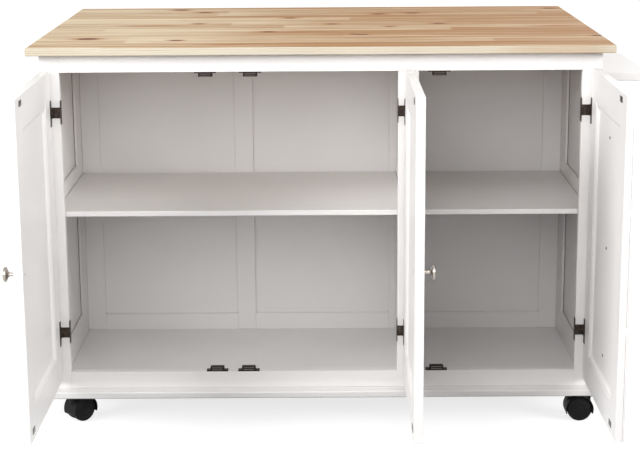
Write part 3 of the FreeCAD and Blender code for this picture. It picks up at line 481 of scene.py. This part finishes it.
# A smooth line through the points of a profile
def smoothLine(points, steps=4):
    line = []
    ends = [points[0]] + list(points) + [points[-1]]
    for spots in zip(ends, ends[1:], ends[2:], ends[3:]):
        for step in range(steps):
            line.append(tuple(smoothValue(*values, step / steps) for values in zip(*spots)))
    return line + [tuple(points[-1])]


# Takes what is drawn along Z from the origin to a place and a direction.
def towards(spot, direction):
    turn = Vector((0, 0, 1)).rotation_difference(Vector(direction)).to_matrix().to_4x4()
    return Matrix.Translation(spot) @ turn


def aim(shape, spot, direction):
    shape.transform(towards(spot, direction))
    return shape


# A closed box with rounded edges
def roundedBox(low, high, radius, segments=3):
    shape = bmesh.new()
    centre = (Vector(low) + Vector(high)) / 2
    spread = Vector(high) - Vector(low)
    bmesh.ops.create_cube(shape, size=1.0, matrix=Matrix.Translation(centre) @ Matrix.Diagonal((*spread, 1)))
    bmesh.ops.bevel(shape, geom=shape.edges, offset=radius, segments=segments, profile=0.5, affect="EDGES")
    return shape


def mergeShapes(shapes):
    whole = bmesh.new()
    for shape in shapes:
        mesh = asMesh("part", shape)
        whole.from_mesh(mesh)
        bpy.data.meshes.remove(mesh)
    return whole


boardFinishes = ["paintLevel", "paintDeep", "paintUpright"]  # grain along x, y and z


# The same boards as a node's, with their edges eased, and the grain of each along its length
def easeBoards(node, ease, segments=2):
    mesh = nodes[node].data
    whole = bmesh.new()
    for faces in solidFaces(node):
        made = {}
        corners = []
        for face in faces:
            loop = []
            for index in face.vertices:
                spot = tuple(round(v * 1e6) for v in mesh.vertices[index].co)
                if spot not in made:
                    made[spot] = whole.verts.new(mesh.vertices[index].co)
                loop.append(made[spot])
            corners.append(list(dict.fromkeys(loop)))
        places = [[v.co[axis] for v in made.values()] for axis in range(3)]
        spread = [max(values) - min(values) for values in places]
        for loop in corners:
            if len(loop) > 2:
                whole.faces.new(loop).material_index = spread.index(max(spread))
    limit = math.radians(0.2)
    bmesh.ops.dissolve_limit(whole, angle_limit=limit, verts=whole.verts, edges=whole.edges)
    name = node + "_eased"
    piece = addPiece(name, asMesh(name, whole), boardFinishes[0], bodyOf[node])
    for finish in boardFinishes[1:]:
        piece.data.materials.append(finishes[finish])
    bevel = piece.modifiers.new("eased", "BEVEL")
    bevel.width = ease
    bevel.segments = segments
    bevel.limit_method = "ANGLE"
    bevel.angle_limit = math.radians(40)
    bevel.use_clamp_overlap = False
    bevel.harden_normals = True
    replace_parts(piece, node)


# A screw head with a cross recess, its outer side towards +Z from the surface it sits in
screw = {
    "radius": 0.0034,
    "rise": 0.0011,
    "seat": -0.0002,  # where the head begins, just under the surface
    "slotLength": 0.0036,
    "slotWidth": 0.0008,
    "slotDepth": 0.0009,
    "twist": 0.7,  # each next screw is turned by this much, in radians
}


def screwHeadMesh():
    radius = screw["radius"]
    rise = screw["rise"]
    dome = [(radius, screw["seat"]), (radius, rise * 0.25)]
    dome += [(radius * math.cos(a), rise * (0.25 + 0.75 * math.sin(a))) for a in (0.3, 0.6, 0.9, 1.2)]
    dome += [(0.0, rise)]
    head = lathe([(0.0, screw["seat"])] + dome, 32)
    cross = []
    half = screw["slotLength"] / 2
    thin = screw["slotWidth"] / 2
    for long, short in ((half, thin), (thin, half)):
        low = (-long, -short, rise - screw["slotDepth"])
        cross.append(roundedBox(low, (long, short, rise + 0.001), thin * 0.3, 1))
    holder = bpy.data.objects.new("head", asMesh("head", head))
    tool = bpy.data.objects.new("cross", asMesh("cross", mergeShapes(cross)))
    for item in (holder, tool):
        bpy.context.scene.collection.objects.link(item)
    recess = holder.modifiers.new("recess", "BOOLEAN")
    recess.operation = "DIFFERENCE"
    recess.object = tool
    recess.use_self = True
    bpy.context.view_layer.update()
    made = bpy.data.meshes.new_from_object(holder.evaluated_get(bpy.context.evaluated_depsgraph_get()))
    for item in (holder, tool):
        bpy.data.objects.remove(item)
    return made


screwMesh = screwHeadMesh()


# Screw heads on a body: each spot is a place and the direction its head faces.
def addScrews(name, spots, finish, body, size=1.0):
    whole = bmesh.new()
    for index, (spot, facing) in enumerate(spots):
        twist = Matrix.Rotation(index * screw["twist"], 4, "Z")
        copy = screwMesh.copy()
        copy.transform(towards(spot, facing) @ twist @ Matrix.Scale(size, 4))
        whole.from_mesh(copy)
        bpy.data.meshes.remove(copy)
    return addPiece(name, asMesh(name, whole), finish, body)


# Gives nodes that keep their own shape a finish.
def dress(finish, *names):
    for name in names:
        for slot in nodes[name].material_slots:
            slot.material = finishes[finish]


dress("pine", "worktop", "drop_leaf")


# Cabinet: boards with eased edges

cabinet = {
    "ease": 0.0007,
    "shelfEase": 0.0014,
    "frames": ["face_frame_stiles", "face_frame_rails", "left_side_frame", "right_side_frame", "back_frame",
               "partition"],
    "shelves": ["left_shelf", "right_shelf"],
}

for node in cabinet["frames"]:
    easeBoards(node, cabinet["ease"])
for node in cabinet["shelves"]:
    easeBoards(node, cabinet["shelfEase"])
dress("paintUpright", "side_panels", "back_panels")
dress("paintLevel", "base_board")
dress("paintDeep", "side_shelf")
print("cabinet is dressed")


# Doors: eased frames, and a moulding round each recess

moulding = {
    "width": 0.013,
    "flat": 0.0035,  # the lip beside the frame's edge
    "lip": 0.0012,  # how far the lip lies below the frame's face
    "corner": 0.011,
    "cornerGrowth": 1.4,  # how soon the corners reach that radius across the moulding
    "sharpCorner": 0.0004,
    "cornerSteps": 6,
    "doorEase": 0.0011,
    "falseFrontEase": 0.0022,
}


# The moulding's profile, from the frame's edge inwards: distance from the edge, and depth
def mouldingProfile(depth):
    lip = moulding["lip"]
    run = moulding["width"] - moulding["flat"]
    points = [(0.0, lip), (moulding["flat"] * 0.8, lip)]
    for step in range(9):
        share = step / 8
        drop = (1 - math.cos(math.pi * share)) / 2  # an ogee
        points.append((moulding["flat"] + run * share, lip + (depth - lip) * drop))
    return points


# A closed loop of points round a rectangle with rounded corners, in (across, height)
def roundedLoop(left, right, low, high, radius):
    steps = moulding["cornerSteps"]
    loop = []
    for x, z, start in ((right, high, 0), (left, high, 90), (left, low, 180), (right, low, 270)):
        centreX = x - radius if x == right else x + radius
        centreZ = z - radius if z == high else z + radius
        loop += arc((centreX, centreZ), radius, start, start + 90, steps)
    return loop


# Lines the recess whose opening runs over this span, at a face, with the recess going towards inward.
def mouldingRing(spanAcross, spanHigh, face, inward, depth):
    shape = bmesh.new()
    rings = []
    left, right = spanAcross
    low, high = spanHigh
    backEdge = (0.0, depth)  # closes the strip against the frame and the panel
    for offset, fall in mouldingProfile(depth) + [backEdge]:
        growth = min(1.0, offset / moulding["width"] * moulding["cornerGrowth"])
        radius = max(moulding["sharpCorner"], moulding["corner"] * growth)
        loop = roundedLoop(left + offset, right - offset, low + offset, high - offset, radius)
        rings.append([shape.verts.new((face + inward * fall, y, z)) for y, z in loop])
    count = len(rings[0])
    for index, ring in enumerate(rings):
        following = rings[(index + 1) % len(rings)]
        for i in range(count):
            j = (i + 1) % count
            shape.faces.new((ring[i], ring[j], following[j], following[i]))
    bmesh.ops.recalc_face_normals(shape, faces=shape.faces)
    return shape


doors = {
    # side of the door that its inner face looks to, and whether its outer face is recessed too
    "left_door": {"looks": 1, "outerRecess": True},
    "middle_door": {"looks": -1, "outerRecess": True},
    "right_door": {"looks": -1, "outerRecess": False},
}


def addDoor(door, looks, outerRecess):
    node = door + "_frame"
    low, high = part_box(node)
    easeBoards(node, moulding["doorEase"], 3)
    dress("paintUpright", door + "_panel")
    boards = solidBoxes(node)
    stiles = [b for b in boards if b[1].z - b[0].z > (high.z - low.z) / 2]
    rails = [b for b in boards if b not in stiles]
    across = (min(b[1].y for b in stiles), max(b[0].y for b in stiles))
    tall = (min(b[1].z for b in rails), max(b[0].z for b in rails))
    panelLow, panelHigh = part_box(door + "_panel")
    inner, panelInner = (high.x, panelHigh.x) if looks > 0 else (low.x, panelLow.x)
    rings = [mouldingRing(across, tall, inner, -looks, abs(inner - panelInner))]
    if outerRecess:
        outer, panelOuter = (low.x, panelLow.x) if looks > 0 else (high.x, panelHigh.x)
        rings.append(mouldingRing(across, tall, outer, looks, abs(outer - panelOuter)))
    mesh = asMesh(door + "Moulding", mergeShapes(rings))
    addPiece(door + "_moulding", mesh, "paintUpright", door, 60)


for door, facts in doors.items():
    addDoor(door, facts["looks"], facts["outerRecess"])
easeBoards("false_drawer_fronts", moulding["falseFrontEase"], 4)
print("doors are dressed")


# Door hinges, with a screw at each end of each leaf

hinges = {
    "plate": 0.0012,
    "screwEdge": 0.006,
    "screwSpread": 0.34,  # how far the screws stand from the middle, as a share of the leaf's height
    "screwSize": 0.82,
    "sink": 0.0005,
    "leftOf": -0.4,  # frame leaves at x below this are the left door's
}


# A frame leaf's plate is the outermost part of its box.
# A door leaf's plate starts at the middle of its barrel.
def leafScrews(node, faceOf, onDoor):
    spots = []
    for low, high in solidBoxes(node):
        looks = faceOf((low + high) / 2)
        if onDoor:
            face = (low.x + high.x) / 2 + looks * hinges["plate"]
            y = low.y + hinges["screwEdge"]
        else:
            face = high.x if looks > 0 else low.x
            y = high.y - hinges["screwEdge"]
        face -= looks * hinges["sink"]
        middle = (low.z + high.z) / 2
        for way in (-1, 1):
            spots.append(((face, y, middle + way * hinges["screwSpread"] * (high.z - low.z)), (looks, 0, 0)))
    return spots


# The left door's hinges look to the right, and the others to the left.
def frameLeafLooks(spot):
    return 1 if spot.x < hinges["leftOf"] else -1


dress("bronze", "door_hinge_pins", "door_hinge_frame_leaves")
spots = leafScrews("door_hinge_frame_leaves", frameLeafLooks, False)
addScrews("hinge_frame_screws", spots, "bronze", "cabinet", hinges["screwSize"])
for door, facts in doors.items():
    dress("bronze", door + "_hinge_leaves")
    spots = leafScrews(door + "_hinge_leaves", lambda p: facts["looks"], True)
    addScrews(door + "_hinge_screws", spots, "bronze", door, hinges["screwSize"])
print("hinges are dressed")


# Knobs, turned from a foot, a slim neck and a thick domed head, and the screws that hold them

knob = {
    # radius and height from the door
    "foot": [(0.0, 0.0), (0.0065, 0.0), (0.0065, 0.0011), (0.0058, 0.0019)],
    "neck": [(0.0058, 0.0019), (0.0046, 0.0034), (0.0040, 0.0062), (0.0040, 0.0094), (0.0047, 0.0122),
             (0.0066, 0.0143), (0.0098, 0.0158), (0.0130, 0.0170)],
    "head": [(0.0130, 0.0170), (0.0148, 0.0179), (0.0158, 0.0192), (0.0160, 0.0208), (0.0156, 0.0224),
             (0.0143, 0.0235), (0.0118, 0.0245), (0.0080, 0.0254), (0.0040, 0.0259), (0.0, 0.0260)],
    "screwUnder": 0.02,  # a solid lower than this is a screw
    "screwSink": 0.0016,
    "screwSize": 1.05,
}


def addKnobs(node, door, outward, screwFinish):
    solids = solidBoxes(node)
    heads = [b for b in solids if b[1].z - b[0].z > knob["screwUnder"]]
    screws = [b for b in solids if b not in heads]
    turned = []
    profile = knob["foot"] + smoothLine(knob["neck"])[1:] + smoothLine(knob["head"])[1:]
    for low, high in heads:
        base = low.x if outward > 0 else high.x
        spot = (base, (low.y + high.y) / 2, (low.z + high.z) / 2)
        turned.append(aim(lathe(profile, 64), spot, (outward, 0, 0)))
    mesh = asMesh(door + "Knobs", mergeShapes(turned))
    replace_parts(addPiece(door + "_turned_knobs", mesh, "nickel", door, 50), node)
    spots = []
    for low, high in screws:
        seat = (low.x if outward > 0 else high.x) + outward * knob["screwSink"]
        spots.append(((seat, (low.y + high.y) / 2, (low.z + high.z) / 2), (-outward, 0, 0)))
    addScrews(door + "_knob_screws", spots, screwFinish, door, knob["screwSize"])


addKnobs("left_door_knob", "left_door", -1, "steel")
addKnobs("middle_door_knob", "middle_door", 1, "steel")
addKnobs("right_door_knobs", "right_door", 1, "bronze")


# Catches: a screwed flange, a rounded housing, and two thin poles either side of the magnet

catch = {
    "round": 0.0018,
    "flange": 0.0028,
    "flangeDepth": 0.016,
    "flangeRound": 0.0008,
    "overlap": 0.001,  # how far the housing goes into its flange, and stays short of the flange's back
    "bodyHalf": 0.0165,
    "poleHalf": 0.0125,
    "poleThick": 0.0009,
    "poleDeep": 0.004,
    "poleRound": 0.0002,
    "poleReach": 0.0007,  # how far the poles stand out of the housing
    "poleSpread": 0.0024,
    "screwSpread": 0.021,
    "screwSize": 0.8,
}


def addCatches():
    shapes = []
    poles = []
    spots = []
    for low, high in solidBoxes("catches"):
        up = 1 if low.z < 0.5 else -1  # a low catch stands on the floor and a high one hangs from the rail
        seat, top = (low.z, high.z) if up > 0 else (high.z, low.z)
        edge = seat + up * catch["flange"]
        middle = (low.x + high.x) / 2
        flangeLow = (low.x, high.y - catch["flangeDepth"], min(seat, edge))
        shapes.append(roundedBox(flangeLow, (high.x, high.y, max(seat, edge)), catch["flangeRound"], 2))
        sunk = edge - up * catch["overlap"]
        bodyLow = (middle - catch["bodyHalf"], low.y + catch["poleReach"], min(sunk, top))
        bodyHigh = (middle + catch["bodyHalf"], high.y - catch["overlap"], max(sunk, top))
        shapes.append(roundedBox(bodyLow, bodyHigh, catch["round"], 3))
        for way in (-1, 1):
            centre = (edge + top) / 2 + way * catch["poleSpread"]
            half = catch["poleThick"] / 2
            poleLow = (middle - catch["poleHalf"], low.y, centre - half)
            poleHigh = (middle + catch["poleHalf"], low.y + catch["poleDeep"], centre + half)
            poles.append(roundedBox(poleLow, poleHigh, catch["poleRound"], 1))
            x = middle + way * catch["screwSpread"]
            spots.append(((x, high.y - catch["flangeDepth"] / 2, edge), (0, 0, up)))
    mesh = asMesh("catchHousings", mergeShapes(shapes))
    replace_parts(addPiece("catch_housings", mesh, "catch", "cabinet"), "catches")
    addPiece("catch_poles", asMesh("catchPoles", mergeShapes(poles)), "darkSteel", "cabinet")
    addScrews("catch_screws", spots, "darkSteel", "cabinet", catch["screwSize"])


# Strikes: a small plate with rounded edges and a screw, and a rubber stud on the left door's outer face
strike = {
    "round": 0.0004,
    "plateSpan": 0.015,  # a narrower solid is a stud
    "sink": 0.0008,
    "screwSize": 0.85,
    "stud": [(0.0, 0.0), (0.003, 0.0), (0.003, 0.0028), (0.0022, 0.0038), (0.0, 0.004)],
}


def addStrikes(door, looks):
    node = door + "_strikes"
    plates = []
    spots = []
    for low, high in solidBoxes(node):
        middle = (low + high) / 2
        if high.y - low.y > strike["plateSpan"]:
            plates.append(roundedBox(low, high, strike["round"], 2))
            face = high.x if looks > 0 else low.x
            spots.append(((face - looks * strike["sink"], middle.y, middle.z), (looks, 0, 0)))
        else:
            base = high.x if looks > 0 else low.x
            stud = aim(lathe(strike["stud"], 32), (base, middle.y, middle.z), (-looks, 0, 0))
            addPiece(door + "_stud", asMesh(door + "Stud", stud), "rubber", door, 50)
    piece = addPiece(door + "_strike_plates", asMesh(node, mergeShapes(plates)), "darkSteel", door)
    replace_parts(piece, node)
    addScrews(door + "_strike_screws", spots, "darkSteel", door, strike["screwSize"])


addCatches()
for door, facts in doors.items():
    addStrikes(door, facts["looks"])
print("catches are dressed")


# Casters: hooded forks, and wheels with a rounded tread, a ring and a cap over the axle's end

wheel = {
    # radius and height: the wheel from its inner side, the cap from the wheel's outer side
    "profile": [(0.0034, 0.0), (0.0262, 0.0), (0.0282, 0.0006), (0.0293, 0.0024), (0.0295, 0.0050),
                (0.0295, 0.0105), (0.0292, 0.0128), (0.0281, 0.0146), (0.0262, 0.0152), (0.0236, 0.0153),
                (0.0230, 0.0149), (0.0222, 0.0149), (0.0216, 0.0154), (0.0160, 0.0160), (0.0100, 0.0164),
                (0.0, 0.0165)],
    "cap": [(0.0, -0.001), (0.0085, -0.001), (0.0085, 0.0004), (0.0080, 0.0009), (0.0062, 0.0012),
            (0.0, 0.0014)],
}


def addWheel(name):
    joint = next(j for j in frame["joints"] if j["child"] == name)
    axis = Vector(joint["axis"]).normalized()
    low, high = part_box(name)
    middle = (low + high) / 2
    centre = Vector(joint["pos_m"])
    outward = axis if (middle - centre).dot(axis) > 0 else -axis
    width = wheel["profile"][-1][1]
    inner = centre + outward * ((middle - centre).dot(outward) - width / 2)
    cap = aim(lathe(wheel["cap"], 40), inner + outward * width, outward)
    shape = mergeShapes([aim(lathe(wheel["profile"], 72), inner, outward), cap])
    piece = addPiece(name + "_turned", asMesh(name, shape), "wheel", name, 40)
    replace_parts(piece, name)


dress("steel", "caster_plates", "shelf_pins")
for corner in ("front_left", "front_right", "rear_left", "rear_right"):
    dress("hood", "caster_" + corner + "_fork")
    dress("steel", "caster_" + corner + "_axle")
    for letter in "ab":
        addWheel("caster_" + corner + "_wheel_" + letter)
dress("hood", "caster_front_left_brake", "caster_front_right_brake")
print("casters are dressed")


# Leaf hinges and stays under the leaf, and their screws and the casters' screws

plates = {
    # how thick each plate is, and where its screws stand
    "sink": 0.0006,
    "leafHinge": {"thick": 0.0015, "edge": 0.008, "spread": 0.020},
    "track": {"thick": 0.002, "edge": 0.007, "end": 0.018},
    "bracket": {"thick": 0.002, "across": 0.0108, "up": 0.0095, "screwSize": 0.75},
    "caster": {"thick": 0.0025, "size": 0.05, "inset": 0.0065},
    "screwSize": 0.9,
}


def addPlateScrews():
    sink = plates["sink"]
    down = (0, 0, -1)
    facts = plates["leafHinge"]
    for node, edgeOf in (
        ("leaf_hinge_fixed_leaves", lambda low, high: low.y + facts["edge"]),
        ("leaf_hinge_moving_leaves", lambda low, high: high.y - facts["edge"]),
    ):
        spots = []
        for low, high in solidBoxes(node):
            for way in (-1, 1):
                x = (low.x + high.x) / 2 + way * facts["spread"]
                spots.append(((x, edgeOf(low, high), high.z - facts["thick"] + sink), down))
        addScrews(node + "_screws", spots, "steel", bodyOf[node], plates["screwSize"])

    facts = plates["track"]
    spots = []
    for low, high in solidBoxes("stay_tracks"):
        for y in (low.y + facts["end"], (low.y + high.y) / 2, high.y - facts["end"]):
            spots.append(((high.x - facts["edge"], y, high.z - facts["thick"] + sink), down))
    addScrews("stay_track_screws", spots, "steel", bodyOf["stay_tracks"], plates["screwSize"])

    facts = plates["bracket"]
    spots = []
    for low, high in solidBoxes("stay_brackets"):
        for across in (-facts["across"], facts["across"]):
            for up in (-facts["up"], facts["up"]):
                x = (low.x + high.x) / 2 + across
                spots.append(((x, low.y + facts["thick"] - sink, (low.z + high.z) / 2 + up), (0, 1, 0)))
    body = bodyOf["stay_brackets"]
    addScrews("stay_bracket_screws", spots, "steel", body, facts["screwSize"])

    facts = plates["caster"]
    spots = []
    for low, high in solidBoxes("caster_plates"):
        reach = facts["size"] / 2 - facts["inset"]
        for across in (-reach, reach):
            for back in (-reach, reach):
                x = (low.x + high.x) / 2 + across
                spots.append(((x, (low.y + high.y) / 2 + back, high.z - facts["thick"] + sink), down))
    addScrews("caster_plate_screws", spots, "steel", bodyOf["caster_plates"], plates["screwSize"])


dress("steel", "leaf_hinge_fixed_leaves", "leaf_hinge_moving_leaves", "leaf_hinge_pins")
dress("steel", "stay_brackets", "left_stay_arm", "right_stay_arm", "stay_tracks")
addPlateScrews()
print("leaf hinges and stays are dressed")


# Studio: a white floor that keeps the shadow, and soft lamps

studio = {
    "reach": 40.0,
    "floorSeen": (0.70, 0.70, 0.70),
    "floorBounce": (0.09, 0.09, 0.09),  # a darker floor for the light that it throws back
    "floorShare": (0.48, 0.62),  # how much of the floor glows, near the island and far from it
    "floorSpan": (0.9, 2.6),
    "floorGlow": 1.58,
    "worldSoft": 0.26,  # how bright the surroundings are as light, against how they look
    "aimAt": (0, 0, 0.5),
    "lamps": {
        # where it stands, its width and height, and its power
        "left": {"at": (-9.0, -5.2, 4.3), "size": (5.0, 5.0), "watts": 1020.0},
        "right": {"at": (9.0, -5.2, 4.3), "size": (4.5, 4.5), "watts": 900.0},
        "front": {"at": (-0.6, -2.6, 1.6), "size": (2.4, 1.2), "watts": 36.0},
        "above": {"at": (-0.1, -1.9, 2.9), "size": (2.4, 1.0), "watts": 16.0},
        "rear": {"at": (2.4, 3.6, 3.5), "size": (2.4, 1.6), "watts": 80.0},
    },
}


def seenRay(tree):
    path = addNode(tree, "ShaderNodeLightPath")
    seen = calc(tree, "MAXIMUM", path.outputs["Is Camera Ray"], path.outputs["Is Glossy Ray"])
    return calc(tree, "MAXIMUM", seen, path.outputs["Is Transmission Ray"])


def addFloor():
    shape = bmesh.new()
    bmesh.ops.create_grid(shape, x_segments=8, y_segments=8, size=studio["reach"])
    floor = bpy.data.objects.new("studio_floor", asMesh("studioFloor", shape))
    bpy.context.scene.collection.objects.link(floor)
    finish = bpy.data.materials.new("studioPaper")
    finish.use_nodes = True
    tree = finish.node_tree
    tree.nodes.clear()
    colour = blendColours(tree, seenRay(tree), studio["floorBounce"], studio["floorSeen"])
    matt = addNode(tree, "ShaderNodeBsdfDiffuse", {"Color": colour}).outputs[0]
    glow = addNode(tree, "ShaderNodeEmission", {"Strength": studio["floorGlow"]}).outputs[0]
    spot = addNode(tree, "ShaderNodeTexCoord").outputs["Object"]
    away = vectorMath(tree, "LENGTH", {0: spot}, "Value")
    glowing = fade(tree, away, *studio["floorSpan"], *studio["floorShare"])
    share = calc(tree, "MULTIPLY", seenRay(tree), glowing)
    mixed = addNode(tree, "ShaderNodeMixShader", {0: share, 1: matt, 2: glow}).outputs[0]
    addNode(tree, "ShaderNodeOutputMaterial", {"Surface": mixed})
    floor.data.materials.append(finish)


def addWorld():
    world = bpy.data.worlds.new("studio")
    bpy.context.scene.world = world
    world.use_nodes = True
    tree = world.node_tree
    shader = tree.nodes["Background"]
    soft = studio["worldSoft"]
    strength = calc(tree, "ADD", calc(tree, "MULTIPLY", seenRay(tree), 1 - soft), soft)
    tree.links.new(strength, shader.inputs["Strength"])
    shader.inputs["Color"].default_value = (1, 1, 1, 1)


def addLamps():
    target = Vector(studio["aimAt"])
    for name, facts in studio["lamps"].items():
        lamp = bpy.data.lights.new(name, "AREA")
        lamp.shape = "RECTANGLE"
        lamp.size, lamp.size_y = facts["size"]
        lamp.energy = facts["watts"]
        holder = bpy.data.objects.new(name, lamp)
        bpy.context.scene.collection.objects.link(holder)
        holder.location = facts["at"]
        holder.visible_camera = False
        holder.rotation_euler = (target - holder.location).to_track_quat("-Z", "Y").to_euler()


# The camera stands a little above the worktop and looks down into the island.
view = {
    "at": (-0.0450, -3.6192, 1.3600),
    "pitch": 11.93,  # degrees below level
    "roll": 0.35,
    "lens": 84.60,
    "shift": -0.10,
}


def addCamera():
    camera = bpy.data.cameras.new("camera")
    camera.lens = view["lens"]
    camera.shift_y = view["shift"]
    holder = bpy.data.objects.new("camera", camera)
    bpy.context.scene.collection.objects.link(holder)
    holder.location = view["at"]
    holder.rotation_euler = (math.radians(90 - view["pitch"]), math.radians(view["roll"]), 0)
    bpy.context.scene.camera = holder


addFloor()
addWorld()
addLamps()
addCamera()
bpy.context.scene.view_settings.view_transform = "Standard"
print("studio is set")
